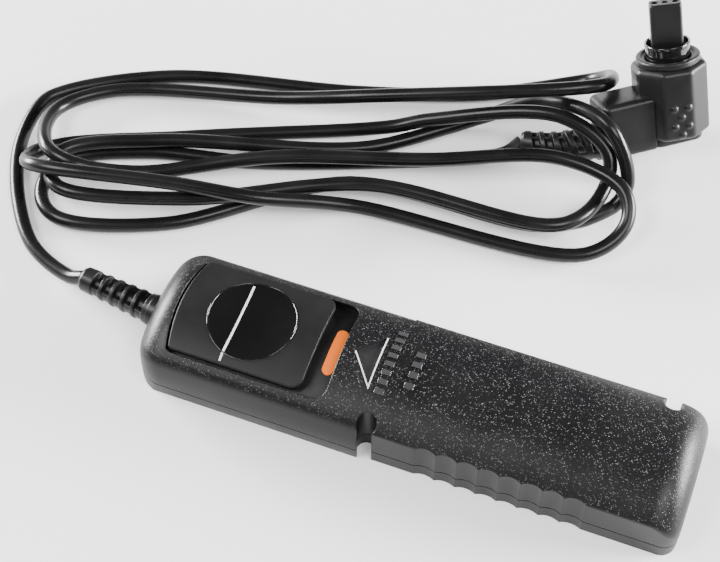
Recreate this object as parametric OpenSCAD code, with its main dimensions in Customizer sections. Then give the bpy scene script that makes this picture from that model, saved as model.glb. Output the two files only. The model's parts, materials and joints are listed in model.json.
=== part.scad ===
// Cable shutter release: a hand switch with a sliding release button, a thin round lead
// and a right-angled locking plug.
// Millimetres. The origin is on the handset's flat underside, near its middle. +X runs from
// the cord end to the tail, and +Z is up.

/* [Handset] */
// Length of the handset
body_length = 106.7; // [104:0.1:110]
// Width across the flat grip sides
grip_width = 26.4; // [26:0.2:27]
// Width across the rounded head
head_width = 28; // [27.8:0.1:28.6]
// Height of the crown of the top shell
body_height = 14.4; // [14.2:0.1:15]
// Height of the joint line between the two shells
joint_height = 3.4; // [3.3:0.1:3.6]
// Radius of the crowned top
crown_radius = 22; // [21:0.5:24]
// Wall thickness of both shells
wall = 1.5; // [1.3:0.1:1.6]

/* [Grip] */
// Number of scallops along the near side of the grip
scallop_count = 8; // [4:1:9]
// Length of one scallop
scallop_pitch = 4.05; // [3.8:0.05:4.2]
// Depth of one scallop
scallop_depth = 0.5; // [0.3:0.05:0.6]
// Radius of the two pockets that clip the cord
clip_radius = 1.9; // [1.7:0.05:2]

/* [Release button] */
// Travel of the button from lock to free
slide_travel = 4.2; // [3:0.1:4.4]
// Travel of the button when it is pressed
press_travel = 0.8; // [0.5:0.05:0.9]
// Diameter of the thumb dish
dish_diameter = 17; // [16:0.2:17.4]
// Depth of the thumb dish
dish_depth = 1.6; // [1.5:0.05:1.7]
// Gap between the button plate and its well
plate_gap = 0.5; // [0.35:0.05:0.6]

/* [Cord] */
// Diameter of the lead
cord_diameter = 3; // [2.6:0.1:3.2]

/* [Plug] */
// Width across the flats of the eight-sided plug barrel
barrel_across = 14.8; // [14:0.2:15.2]
// Height of the plug barrel
barrel_height = 16.2; // [15.6:0.2:16.6]
// Width of the connector key
key_width = 6.6; // [6.5:0.1:7.1]
// Thickness of the connector key
key_thickness = 4.2; // [4.2:0.1:4.8]
// Travel of the locking sleeve
sleeve_travel = 1.2; // [0.8:0.1:1.2]

/* [Hidden] */
$fn = 96;

// The origin is a little nearer the tail than the cord end
head_reach = body_length / 2 + 0.85;
tail_reach = body_length / 2 - 0.85;
crown_centre_z = body_height - crown_radius;
tiny = 0.05;

// The sides of the head bow out in an arc that is widest near the joint line
bow_rise = 6;
bow_drop = (head_width - grip_width) / 2;
bow_radius = (bow_rise * bow_rise + bow_drop * bow_drop) / (2 * bow_drop);
end_round = 6;
head_corner = 6;
tail_corner = 3;
grip_start = -5.6;

// Cord clips: a pocket just inside each side, open through a narrower mouth
clip_inset = 1.3;
clip_wall = 1.4;
near_clip = [-6.9, -grip_width / 2 + clip_inset];
far_clip = [44.8, grip_width / 2 - clip_inset];
scallop_start = 2.9;
scallop_radius = (pow(scallop_pitch / 2, 2) + pow(scallop_depth, 2)) / (2 * scallop_depth);

// Well of the button
well_left = -48.9;
well_right = -15.9;
well_half = 10.8;
well_corner = 2.7;
well_bow = 45;
floor_drop = 2.4;
floor_thickness = 1;

// Button plate and dish
plate_top = 14.3;
plate_crown = 30;
plate_thickness = 1.1;
plate_right = -20.7;
dish_x = -34.2;
// The dish is hollow along X and nearly follows the crown along Y, so its rim stays round
dish_hollow = pow(dish_diameter / 2, 2) / (2 * dish_depth);
dish_barrel = 1 / (1 / dish_hollow - 1 / plate_crown);
cup_radius = 7.5;
cup_bottom = 12;
stem_radius = 1.55;
stem_bottom = 6.3;
pointer_x = -36.9;
marker_x = -17.5;

// Carriage and its rails
carriage_top = 9.3;
carriage_bottom = 8.2;
carriage_half_width = 7;
carriage_length = 18;
rail_gap = 0.1;

// Screws
screw_places = [[4, 0], [44, 0]];
screw_radius = 1;
screw_head_radius = 1.9;
screw_seat = 2;

// Board and contacts
board_bottom = 3.6;
board_top = 4.6;
board_posts = [[-44, -5.5], [-44, 5.5], [-17, -5.5], [-17, 5.5]];

// Cord exit on the handset
exit_z = 5;
exit_radius = 2.4;

// Plug frame: barrel axis along its own +Z, arm along its own +X
plug_place = [28, 80.5, 4.1];
plug_turn = [30, 0, 216.87];
// The barrel and the key are turned about the barrel's axis, away from the arm
barrel_turn = -9.5;
key_turn = -20;
arm_length = 16.5;
arm_bottom = -1.8;
arm_top = 10;
arm_half = 5;
sleeve_radius = 4.75;
sleeve_bore = 4.3;
contact_places = [-2.1, 0, 2.1];
relief_route = [[14.8, 70.6, 5.7], [7.5, 67, 5.2], [-0.8, 66, 4]];

// Route of the lead's centre line, from the handset's strain relief to the plug's
cord_route = [
    [-72, 2.6, 4.4], [-76, 3, 2.5], [-87.5, 8.5, 1.5], [-100, 27.5, 1.5], [-101.5, 42, 1.5],
    [-98.5, 46.5, 1.5], [-78.5, 58.5, 1.5], [-39, 68.5, 1.5], [-14, 77, 1.5], [7.5, 88, 3],
    [12.5, 86, 8.5], [11.5, 77.5, 14.5], [-34, 62.5, 9], [-52.5, 59.5, 4], [-88.5, 50, 2],
    [-97, 40.5, 3], [-92, 27.5, 8], [-85, 25.5, 8], [-74, 31, 3], [-47.5, 43.5, 5],
    [-17.5, 53.5, 5.5], [8.5, 61.5, 8], [23, 58, 8], [25.5, 52, 5], [19.5, 44, 2.5],
    [-28.5, 39, 2.5], [-47, 31, 7], [-63.5, 27.5, 8.5], [-91.5, 22, 8.5], [-96, 25, 5],
    [-95, 31, 2], [-69, 44, 1.5], [-29, 61, 2.5], [-20, 64, 5.5], [6, 68.5, 12.5], [17.5, 65.5, 9],
    [19, 60, 5], [13.5, 47.5, 5.5], [-27, 43.5, 5], [-61, 27, 5], [-85.5, 20, 6], [-90, 24, 5],
    [-89.5, 30, 5], [-72, 39.5, 4.5], [-31.5, 55, 1.5], [-11, 70.5, 2.5], [0.5, 74, 9],
    [16, 68, 14.5], [23, 62.5, 5.5], [21.5, 58, 1.5], [9.5, 48, 2.5], [-31.5, 45, 1.5],
    [-63.5, 22, 1.5], [-85, 15.5, 2], [-91, 20.5, 1.5], [-90.5, 29, 1.5], [-75, 37.5, 1.5],
    [-52.5, 43, 1.5], [-20, 55.5, 1.5], [-3.5, 63, 2.5], [-0.8, 66, 4]
];

// ---------- shared shapes ----------

// Flat rectangle with four round corners
module rounded(x0, x1, y0, y1, r) {
    translate([x0 + r, y0]) square([x1 - x0 - 2 * r, y1 - y0]);
    translate([x0, y0 + r]) square([x1 - x0, y1 - y0 - 2 * r]);
    for (x = [x0 + r, x1 - r], y = [y0 + r, y1 - r]) translate([x, y]) circle(r);
}

// A flat shape drawn in Y and Z, carried along X
module along_x(x0, x1) {
    rotate([90, 0, 90]) translate([0, 0, x0]) linear_extrude(x1 - x0) children();
}

// Everything under the crowned top, lowered by an amount
module under_crown(drop, x0 = -60, x1 = 60) {
    along_x(x0, x1) translate([0, crown_centre_z]) circle(crown_radius - drop);
}

// Cross-section of the head: crown above, bowed sides
module head_section(inset) {
    intersection() {
        translate([0, crown_centre_z]) circle(crown_radius - inset);
        for_both_sides(inset);
    }
}

module for_both_sides(inset) {
    intersection() {
        translate([head_width / 2 - bow_radius, joint_height]) circle(bow_radius - inset);
        translate([bow_radius - head_width / 2, joint_height]) circle(bow_radius - inset);
    }
}

// Outline seen from above: a bowed head and a straight grip
module plan(inset) {
    rounded(-head_reach + inset, grip_start + 4, -head_width / 2 + inset,
            head_width / 2 - inset, head_corner - inset);
}

module grip_plan(inset) {
    rounded(grip_start - 2 * tail_corner, tail_reach - inset, -grip_width / 2 + inset,
            grip_width / 2 - inset, tail_corner - inset);
}

// Solid form of the whole handset, shrunk by an inset
module body_form(inset) {
    intersection() {
        along_x(-head_reach, tail_reach) head_section(inset);
        rotate([90, 0, 0]) linear_extrude(60, center = true)
            rounded(-head_reach + inset, tail_reach - inset, -20, body_height - inset,
                    end_round - inset);
        translate([0, 0, -1]) linear_extrude(30) union() {
            intersection() {
                plan(inset);
                translate([-100, -30]) square([100 + grip_start, 60]);
            }
            grip_plan(inset);
        }
    }
}

module slab(z0, z1) {
    translate([-70, -30, z0]) cube([140, 60, z1 - z0]);
}

// Plan of the button's well, shrunk by an inset
module well_plan(inset, right = well_right) {
    intersection() {
        rounded(well_left + inset, right - inset, -well_half + inset, well_half - inset,
                well_corner - inset);
        translate([well_left + well_bow, 0]) circle(well_bow - inset);
    }
}

module clip_bores() {
    for (p = [near_clip, far_clip])
        translate([p[0], p[1], -1]) cylinder(h = 20, r = clip_radius);
    // mouths, narrower than the pockets
    translate([near_clip[0] - 1.35, -30, -1]) cube([2.7, 30 + near_clip[1], 20]);
    translate([far_clip[0] - 1.35, far_clip[1], -1]) cube([2.7, 30, 20]);
}

module clip_walls() {
    for (p = [near_clip, far_clip])
        translate([p[0], p[1], 0]) cylinder(h = 20, r = clip_radius + clip_wall);
}

module scallops() {
    for (i = [0 : scallop_count - 1])
        translate([scallop_start + (i + 0.5) * scallop_pitch,
                   -grip_width / 2 - scallop_radius + scallop_depth, -1])
            cylinder(h = 20, r = scallop_radius);
}

module cord_hole() {
    translate([-head_reach - 1, 0, exit_z]) rotate([0, 90, 0])
        cylinder(h = 4, r = exit_radius + 0.02);
}

// ---------- handset ----------

module legend_marks() {
    intersection() {
        under_crown(-0.25);
        for (i = [0 : 7])
            translate([-7.6, 7.2 - 1.9 * i - 0.5, 8]) cube([2, 1, 8]);
    }
    intersection() {
        under_crown(-0.25);
        for (i = [0 : 3])
            translate([-2.7, 3.4 - 2.3 * i - 0.6, 8]) cube([2, 1.2, 8]);
    }
}

module arrow_recess() {
    difference() {
        translate([0, 0, 8]) linear_extrude(10)
            polygon([[-13.6, 0.3], [-8.7, 5.3], [-8.7, -6.3]]);
        under_crown(0.35);
    }
}

module upper_shell() {
    color("#1c1c1e") union() {
        difference() {
            intersection() {
                body_form(0);
                union() {
                    difference() {
                        slab(joint_height, 20);
                        body_form(wall);
                    }
                    clip_walls();
                    for (p = screw_places)
                        translate([p[0], p[1], joint_height]) cylinder(h = 12, r = 2.6);
                }
                slab(joint_height, 20);
            }
            translate([0, 0, 5]) linear_extrude(15) well_plan(0);
            clip_bores();
            scallops();
            cord_hole();
            arrow_recess();
            for (p = screw_places)
                translate([p[0], p[1], joint_height - 1])
                    cylinder(h = 7, r = screw_radius + 0.02);
        }
        difference() {
            legend_marks();
            under_crown(tiny);
        }
    }
}

module lower_shell() {
    color("#202022") difference() {
        intersection() {
            body_form(0);
            union() {
                difference() {
                    slab(0, joint_height);
                    intersection() {
                        body_form(wall);
                        slab(wall, 20);
                    }
                }
                clip_walls();
                for (p = screw_places)
                    translate([p[0], p[1], 0]) cylinder(h = joint_height, r = 3.2);
                for (p = board_posts)
                    translate([p[0], p[1], 0]) cylinder(h = joint_height, r = 1.4);
            }
            slab(0, joint_height - 0.1);
        }
        clip_bores();
        scallops();
        cord_hole();
        for (p = screw_places) translate([p[0], p[1], -1]) {
            cylinder(h = 10, r = screw_radius + 0.15);
            cylinder(h = 1 + screw_seat, r = screw_head_radius + 0.3);
        }
    }
    color("#202022") for (p = board_posts)
        translate([p[0], p[1], joint_height - 0.2])
            cylinder(h = board_bottom - joint_height + 0.2, r = 1.4);
}

module case_screws() {
    color("#8d8f92") for (p = screw_places) translate([p[0], p[1], 0]) difference() {
        union() {
            translate([0, 0, 0.8]) cylinder(h = screw_seat - 0.8, r = screw_head_radius);
            translate([0, 0, screw_seat - tiny]) cylinder(h = 6.2, r = screw_radius);
        }
        for (a = [0, 90]) rotate([0, 0, a])
            translate([-1.1, -0.25, 0]) cube([2.2, 0.5, 1.5]);
    }
}

// Floor of the well, with rails that carry the sliding carriage
module slide_frame() {
    frame_half = 11.2;
    color("#131314") difference() {
        union() {
            difference() {
                intersection() {
                    body_form(wall + tiny);
                    translate([0, 0, 5]) linear_extrude(12)
                        rounded(well_left - 0.9, well_right + 0.9, -frame_half, frame_half, 2);
                }
                under_crown(floor_drop + floor_thickness);
                difference() {
                    translate([0, 0, 5]) linear_extrude(12) well_plan(0);
                    under_crown(floor_drop);
                }
            }
            for (s = [-1, 1]) rail(s);
        }
        cup_opening();
        marker_slot();
    }
}

module rail(side) {
    rail_length = carriage_length + slide_travel + 2;
    rail_y = carriage_half_width + rail_gap;
    rail_x = dish_x - carriage_length / 2 - 1;
    lip_top = carriage_bottom - rail_gap;
    intersection() {
        under_crown(floor_drop + floor_thickness - tiny);
        translate([rail_x, side * (rail_y + 0.6) - 0.6, lip_top - 1]) cube([rail_length, 1.2, 6]);
    }
    translate([rail_x, side * (rail_y - 0.1) - 0.8, lip_top - 1]) cube([rail_length, 1.6, 1]);
}

module cup_opening() {
    for (x = [dish_x, dish_x + slide_travel]) translate([x, 0, carriage_top])
        cylinder(h = 6, r = cup_radius + 0.5);
    translate([dish_x, -cup_radius - 0.5, carriage_top])
        cube([slide_travel, 2 * cup_radius + 1, 6]);
}

module marker_bar(grow) {
    bar_half = 3.95;
    bar_radius = 1.15;
    for (s = [-1, 1]) translate([marker_x, s * bar_half, 0]) circle(bar_radius + grow);
    translate([marker_x - bar_radius - grow, -bar_half])
        square([2 * (bar_radius + grow), 2 * bar_half]);
}

module marker_slot() {
    difference() {
        translate([0, 0, 8]) linear_extrude(8) marker_bar(0);
        under_crown(floor_drop + 0.6);
    }
}

module lock_marker() {
    color("#f28c28") difference() {
        intersection() {
            under_crown(floor_drop - 0.15);
            translate([0, 0, 8]) linear_extrude(8) marker_bar(-0.02);
        }
        under_crown(floor_drop + 0.58);
    }
}

module slide_carriage() {
    color("#2a2a2c") difference() {
        translate([dish_x - carriage_length / 2, -carriage_half_width, carriage_bottom])
            cube([carriage_length, 2 * carriage_half_width, carriage_top - carriage_bottom]);
        translate([dish_x, 0, 0]) cylinder(h = 20, r = stem_radius + 0.05);
    }
}

// Spring wire wound in a helix between the carriage and the dish
module return_spring() {
    wire = 0.2;
    coil = 2.5;
    turns = 3;
    steps = 20;
    sides = 6;
    low = carriage_top + wire;
    high = cup_bottom - wire;
    rings = [for (i = [0 : turns * steps])
        let (a = 360 * i / steps, z = low + (high - low) * i / (turns * steps))
        [for (j = [0 : sides - 1])
            let (b = 360 * j / sides, r = coil + wire * cos(b))
            [dish_x + r * cos(a), r * sin(a), z + wire * sin(b)]]];
    color("#b9bcc0") skin(rings);
}

// Everything under the top of the button plate, lowered by an amount
module plate_under(drop) {
    along_x(-60, 0) translate([0, plate_top - plate_crown]) circle(plate_crown - drop);
}

module dish_cutter() {
    translate([dish_x, 0, plate_top - dish_depth + dish_hollow]) rotate([90, 0, 0])
        rotate_extrude($fn = 360) intersection() {
            translate([dish_hollow - dish_barrel, 0]) circle(dish_barrel, $fn = 720);
            translate([0, -12]) square([dish_hollow + 1, 24]);
        }
}

// Plate crown with the dish taken out of it
module button_under(drop) {
    difference() {
        plate_under(drop);
        translate([0, 0, -drop]) dish_cutter();
    }
}

module pointer_bar(grow) {
    translate([pointer_x - 0.2 - grow, -9.8 - grow, 9]) cube([0.4 + 2 * grow, 17.2 + 2 * grow, 8]);
}

module pointer_groove() {
    difference() {
        pointer_bar(0.02);
        button_under(0.27);
    }
}

module release_plate() {
    color("#232325") difference() {
        intersection() {
            plate_under(0);
            translate([0, 0, 9]) linear_extrude(8)
                well_plan(plate_gap, plate_right + plate_gap);
        }
        plate_under(plate_thickness);
        translate([dish_x, 0, 5]) cylinder(h = 15, r = dish_diameter / 2);
        pointer_groove();
    }
}

module thumb_dish() {
    color("#0c0c0d") difference() {
        union() {
            difference() {
                intersection() {
                    button_under(0);
                    translate([dish_x, 0, 9]) cylinder(h = 8, r = dish_diameter / 2 - 0.02);
                }
                plate_under(plate_thickness);
            }
            intersection() {
                button_under(0);
                translate([dish_x, 0, cup_bottom]) cylinder(h = 2.5, r = cup_radius);
            }
            translate([dish_x, 0, stem_bottom])
                cylinder(h = cup_bottom - stem_bottom + 0.3, r = stem_radius);
        }
        pointer_groove();
    }
}

// Thin painted line across the plate and the dish
module pointer_line() {
    color("#f2f2f0") difference() {
        intersection() {
            pointer_bar(0);
            button_under(-0.03);
        }
        button_under(0.25);
    }
}

// ---------- switch ----------

module circuit_board() {
    color("#2c6b3f") translate([0, 0, board_bottom])
        linear_extrude(board_top - board_bottom) rounded(-47, -14, -7.5, 7.5, 1);
}

module contact_block() {
    color("#d8d4c8") difference() {
        translate([-45.5, -3, board_top]) cube([4, 6, 1.9]);
        for (z = [4.95, 5.45, 5.95]) translate([-43.5, -1.5, z]) cube([3, 3, 0.2]);
    }
}

module leaf(z) {
    translate([-43.4, -1.4, z + 0.01]) cube([18, 2.8, 0.18]);
}

module common_leaf() {
    color("#c8a24a") leaf(5.95);
}

module half_press_leaf() {
    color("#c8a24a") leaf(5.45);
}

module full_press_leaf() {
    color("#c8a24a") leaf(4.95);
}

module lead_wires() {
    wire_radius = 0.45;
    wire_z = board_top + wire_radius + tiny;
    wire_start = -head_reach + wall + 0.95;
    wire_end = -46.3;
    color("#a02c22") for (y = [-1.5, 0, 1.5]) {
        translate([wire_start, y, wire_z]) rotate([0, 90, 0])
            cylinder(h = wire_end - wire_start, r = wire_radius);
        translate([wire_end, y, board_top]) cylinder(h = 1.1, r = 0.65);
    }
}

// ---------- swept soft pieces ----------

// Closed skin over a list of rings that all have the same number of points
module skin(rings) {
    n = len(rings[0]);
    last = len(rings) - 1;
    points = [for (ring = rings, p = ring) p];
    walls = [for (i = [0 : last - 1], j = [0 : n - 1])
        [i * n + j, (i + 1) * n + j, (i + 1) * n + (j + 1) % n, i * n + (j + 1) % n]];
    start = [[for (j = [0 : n - 1]) j]];
    finish = [[for (j = [n - 1 : -1 : 0]) last * n + j]];
    polyhedron(points, concat(walls, start, finish), 4);
}

function unit(v) = v / norm(v);

// Ring of points square to a direction
function ring_at(p, dir, r, sides) =
    let (side = unit(cross(dir, [0, 0, 1])), up = cross(side, dir))
    [for (j = [0 : sides - 1]) p + r * (cos(360 * j / sides) * side + sin(360 * j / sides) * up)];

// Point on the smooth curve through a, b, c and d, a share t of the way from b to c.
// Knots are spaced by the square root of each chord, which keeps tight turns round.
function through(a, b, c, d, t) =
    let (k1 = sqrt(norm(b - a)), k2 = k1 + sqrt(norm(c - b)), k3 = k2 + sqrt(norm(d - c)),
         k = k1 + t * (k2 - k1),
         ab = mix(a, b, 0, k1, k), bc = mix(b, c, k1, k2, k), cd = mix(c, d, k2, k3, k))
    mix(mix(ab, bc, 0, k2, k), mix(bc, cd, k1, k3, k), k1, k2, k);

function mix(p, q, k0, k1, k) = ((k1 - k) * p + (k - k0) * q) / (k1 - k0);

// Smooth line through a list of points, with a number of steps in each span
function smooth(route, steps) =
    let (n = len(route) - 1,
         far = concat([2 * route[0] - route[1]], route, [2 * route[n] - route[n - 1]]))
    concat([for (i = [0 : n - 1], k = [0 : steps - 1])
        through(far[i], far[i + 1], far[i + 2], far[i + 3], k / steps)], [route[n]]);

// Round tube along a smooth line, with a radius for its start and one for its end
module tube(line, r0, r1, sides, lowest = -100) {
    n = len(line) - 1;
    raised = [for (p = line) [p[0], p[1], max(p[2], lowest)]];
    skin([for (i = [0 : n])
        let (dir = unit(raised[min(i + 1, n)] - raised[max(i - 1, 0)]))
        ring_at(raised[i], dir, r0 + (r1 - r0) * i / n, sides)]);
}

// ---------- cord ----------

module body_strain_relief() {
    swing = atan2(cord_route[0][1], cord_route[0][0] + head_reach);
    reach = norm([cord_route[0][0] + head_reach, cord_route[0][1]]);
    dip = atan2(cord_route[0][2] - exit_z, reach);
    length = norm([reach, cord_route[0][2] - exit_z]);
    root_radius = 3.15;
    tip_radius = 2.55;
    color("#161617") union() {
        difference() {
            translate([-head_reach, 0, exit_z]) rotate([0, 0, swing]) rotate([0, 90 - dip, 0])
                difference() {
                    translate([0, 0, -1]) cylinder(h = length + 1, r1 = root_radius,
                                                   r2 = tip_radius);
                    for (i = [0 : 4]) translate([0, 0, 3.4 + 2.9 * i]) difference() {
                        cylinder(h = 1.2, r = 5);
                        translate([0, 0, -1]) cylinder(h = 3, r = 2.1);
                        translate([-1.1, -5, -1]) cube([2.2, 10, 3]);
                    }
                }
            translate([-head_reach - 0.02, -10, -5]) cube([20, 20, 20]);
        }
        translate([-head_reach - 0.3, 0, exit_z]) rotate([0, 90, 0])
            cylinder(h = wall + 0.9, r = exit_radius);
        translate([-head_reach + wall + tiny, 0, exit_z]) rotate([0, 90, 0])
            cylinder(h = 0.9, r = exit_radius + 0.9);
    }
}

module cord() {
    color("#141415")
        tube(smooth(cord_route, 2), cord_diameter / 2, cord_diameter / 2, 8, cord_diameter / 2);
}

// ---------- plug ----------

module at_plug() {
    translate(plug_place) rotate(plug_turn) children();
}

module octagon(across) {
    rotate(22.5 + barrel_turn) circle(across / 2 / cos(22.5), $fn = 8);
}

module plug_barrel() {
    color("#1b1b1d") at_plug() {
        difference() {
            linear_extrude(barrel_height - 0.8) octagon(barrel_across);
            translate([0, 0, -1]) cylinder(h = barrel_height - 1.8, r = 6.2);
            cylinder(h = barrel_height + 5, r = sleeve_radius + 0.05);
        }
        grip_dots();
    }
}

// Six raised dots low on one face of the barrel
module grip_dots() {
    rows = [[1.2, [-0.5]], [3.2, [-1.95, 0.95]], [5.2, [-0.5]], [7.2, [-1.95, 0.95]]];
    rotate([0, 0, barrel_turn]) for (row = rows, x = row[1])
        translate([x, barrel_across / 2 - 0.1, row[0]]) rotate([-90, 0, 0])
            cylinder(h = 0.5, r1 = 0.8, r2 = 0.5);
}

// Cap in the bottom of the barrel, with a foot that carries the arm's underside on
module plug_base() {
    color("#161618") at_plug() {
        translate([0, 0, -0.1]) cylinder(h = 1.5, r = 6.18);
        translate([0, 0, arm_bottom + 0.05]) linear_extrude(-arm_bottom - 0.05)
            intersection() {
                octagon(barrel_across - 0.6);
                rounded(-5.4, 12, -arm_half, arm_half, 2.4);
            }
    }
}

module plug_ring() {
    color("#2b2b2e") at_plug() translate([0, 0, barrel_height - 0.78]) difference() {
        cylinder(h = 1.4, r1 = 6.7, r2 = 6.4);
        translate([0, 0, -1]) cylinder(h = 4, r = sleeve_radius + 0.05);
    }
}

module lock_sleeve() {
    sleeve_top = 19.6;
    color("#0d0d0e") at_plug() difference() {
        union() {
            translate([0, 0, 11.3]) cylinder(h = sleeve_top - 11.3, r = sleeve_radius);
            translate([0, 0, 11.3]) cylinder(h = 2, r = 5.8);
        }
        cylinder(h = 40, r = sleeve_bore);
    }
}

module sleeve_washer() {
    color("#cfd1d3") at_plug() translate([0, 0, 9.35]) difference() {
        cylinder(h = 0.6, r = 6);
        translate([0, 0, -1]) cylinder(h = 3, r = sleeve_bore + 0.1);
    }
}

// Flat-sided key with three contact sockets, standing on a round foot inside the barrel
module connector_key() {
    color("#222225") at_plug() rotate([0, 0, key_turn]) difference() {
        union() {
            translate([-key_width / 2, -key_thickness / 2, 8])
                cube([key_width, key_thickness, 20]);
            translate([0, 0, 6]) cylinder(h = 3.3, r = 6.15);
        }
        for (x = contact_places) translate([x, 0, 12]) cylinder(h = 20, r = 0.75);
    }
}

module contact_pins() {
    color("#c9a548") at_plug() rotate([0, 0, key_turn]) for (x = contact_places)
        translate([x, 0, 12]) cylinder(h = 15.2, r = 0.45);
}

module plug_arm() {
    color("#1b1b1d") at_plug() difference() {
        translate([0, 0, arm_bottom]) linear_extrude(arm_top - arm_bottom)
            rounded(2, arm_length, -arm_half, arm_half, 1.4);
        translate([0, 0, -3]) linear_extrude(20) octagon(barrel_across + 0.04);
        translate([0, 0, arm_top - 1.6]) rotate([90, 0, 0]) translate([0, 0, -10])
            difference() {
                translate([arm_length - 1.6, 0, 0]) cube([4, 4, 20]);
                translate([arm_length - 1.6, 0, -1]) cylinder(h = 30, r = 1.6);
            }
    }
}

module plug_strain_relief() {
    color("#161617") tube(smooth(relief_route, 6), 4.1, 2.4, 20);
}

// ---------- assembly ----------

upper_shell();
lower_shell();
case_screws();
slide_frame();
lock_marker();
slide_carriage();
return_spring();
release_plate();
thumb_dish();
pointer_line();
circuit_board();
contact_block();
common_leaf();
half_press_leaf();
full_press_leaf();
lead_wires();
body_strain_relief();
cord();
plug_strain_relief();
plug_arm();
plug_barrel();
plug_base();
plug_ring();
lock_sleeve();
sleeve_washer();
connector_key();
contact_pins();
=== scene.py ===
import bpy
import bmesh
import json
import math
from mathutils import Matrix, Vector


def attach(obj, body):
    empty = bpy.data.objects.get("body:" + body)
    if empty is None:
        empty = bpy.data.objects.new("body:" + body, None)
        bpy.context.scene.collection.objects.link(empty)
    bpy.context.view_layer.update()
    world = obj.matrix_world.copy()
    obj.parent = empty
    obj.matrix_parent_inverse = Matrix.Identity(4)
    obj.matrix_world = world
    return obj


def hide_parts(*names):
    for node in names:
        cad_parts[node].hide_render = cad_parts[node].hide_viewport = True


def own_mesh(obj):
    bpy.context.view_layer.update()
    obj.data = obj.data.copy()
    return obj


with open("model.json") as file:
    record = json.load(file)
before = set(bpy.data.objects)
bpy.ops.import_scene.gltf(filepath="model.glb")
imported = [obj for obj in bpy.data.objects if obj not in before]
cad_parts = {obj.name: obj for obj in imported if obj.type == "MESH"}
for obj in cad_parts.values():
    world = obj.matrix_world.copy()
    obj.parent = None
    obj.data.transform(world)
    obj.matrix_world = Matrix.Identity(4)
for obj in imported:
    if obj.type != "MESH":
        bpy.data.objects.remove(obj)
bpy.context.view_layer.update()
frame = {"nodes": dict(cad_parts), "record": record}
nodes = frame["nodes"]
MM = 0.001


HEAD_REACH = 54.2
TAIL_REACH = 52.5
LYING = Matrix.Rotation(math.pi / 2, 4, "Y")


# ---------- objects ----------

def linked(name, data):
    obj = bpy.data.objects.new(name, data)
    bpy.context.scene.collection.objects.link(obj)
    return obj


def shade_smooth(mesh):
    mesh.polygons.foreach_set("use_smooth", [True] * len(mesh.polygons))


def baked_mesh(obj):
    """The object's mesh with its bevel or modifiers applied."""
    graph = bpy.context.evaluated_depsgraph_get()
    return bpy.data.meshes.new_from_object(obj.evaluated_get(graph))


def as_object(name, bm):
    bmesh.ops.recalc_face_normals(bm, faces=bm.faces)
    mesh = bpy.data.meshes.new(name)
    bm.to_mesh(mesh)
    bm.free()
    return linked(name, mesh)


def taken_back(obj):
    """The object's mesh as a bmesh again; the object goes."""
    bm = bmesh.new()
    bm.from_mesh(obj.data)
    bpy.data.objects.remove(obj, do_unlink=True)
    return bm


def declared(obj, body, replaced=()):
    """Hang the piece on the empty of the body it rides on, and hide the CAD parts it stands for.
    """
    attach(obj, body)
    if replaced:
        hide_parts(*replaced)
    return obj


def add_object(name, bm, body, replaced=(), smooth=True):
    obj = as_object(name, bm)
    if smooth:
        shade_smooth(obj.data)
    return declared(obj, body, replaced)


def skin(bm, rings, closed=False):
    """Faces between neighbouring rings of vertices; an open row of rings gets flat ends."""
    pairs = list(zip(rings, rings[1:]))
    if closed:
        pairs.append((rings[-1], rings[0]))
    for low, high in pairs:
        for j in range(len(low)):
            k = (j + 1) % len(low)
            bm.faces.new((low[j], low[k], high[k], high[j]))
    if not closed:
        bm.faces.new(rings[0])
        bm.faces.new(rings[-1])


def cylinder(bm, radius, height, place, sides=96):
    """Solid cylinder of that radius and height in millimetres, added to a bmesh."""
    bmesh.ops.create_cone(bm, cap_ends=True, segments=sides, radius1=radius * MM,
                          radius2=radius * MM, depth=height * MM, matrix=place)


def moved(x, y, z):
    return Matrix.Translation(Vector((x, y, z)) * MM)


# ---------- camera ----------

CAMERA_AZIMUTH = math.radians(20.4)
CAMERA_ELEVATION = math.radians(56.8)
CAMERA_DISTANCE = 322.8 * MM
CAMERA_TARGET = Vector((-21.4, 23.7, 0.0)) * MM


def make_camera():
    data = bpy.data.cameras.new("camera")
    data.lens = 80
    data.sensor_width = 36
    data.clip_start = 0.01
    data.clip_end = 10
    camera = linked("camera", data)
    a, e = CAMERA_AZIMUTH, CAMERA_ELEVATION
    back = Vector((math.sin(a) * math.cos(e), -math.cos(a) * math.cos(e), math.sin(e)))
    camera.location = CAMERA_TARGET + back * CAMERA_DISTANCE
    camera.rotation_mode = "QUATERNION"
    camera.rotation_quaternion = (-back).to_track_quat("-Z", "Y")
    bpy.context.scene.camera = camera


make_camera()


# ---------- smooth lines ----------

def through(a, b, c, d, t):
    """Point on the smooth curve from b to c, with knots spaced by the root of each chord."""
    k1 = math.sqrt((b - a).length)
    k2 = k1 + math.sqrt((c - b).length)
    k3 = k2 + math.sqrt((d - c).length)
    k = k1 + t * (k2 - k1)

    def mix(p, q, k0, kn):
        return ((kn - k) * p + (k - k0) * q) / (kn - k0)

    ab, bc, cd = mix(a, b, 0, k1), mix(b, c, k1, k2), mix(c, d, k2, k3)
    return mix(mix(ab, bc, 0, k2), mix(bc, cd, k1, k3), k1, k2)


def smooth_line(route, steps, lowest=-1.0):
    """Smooth line through the route's points, kept above a lowest height."""
    p = [Vector(q) for q in route]
    far = [2 * p[0] - p[1]] + p + [2 * p[-1] - p[-2]]
    line = []
    for i in range(len(p) - 1):
        for k in range(steps):
            line.append(through(far[i], far[i + 1], far[i + 2], far[i + 3], k / steps))
    line.append(p[-1])
    for q in line:
        q.z = max(q.z, lowest)
    return line


def line_length(line):
    return sum((b - a).length for a, b in zip(line, line[1:]))


# ---------- cord ----------

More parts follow.
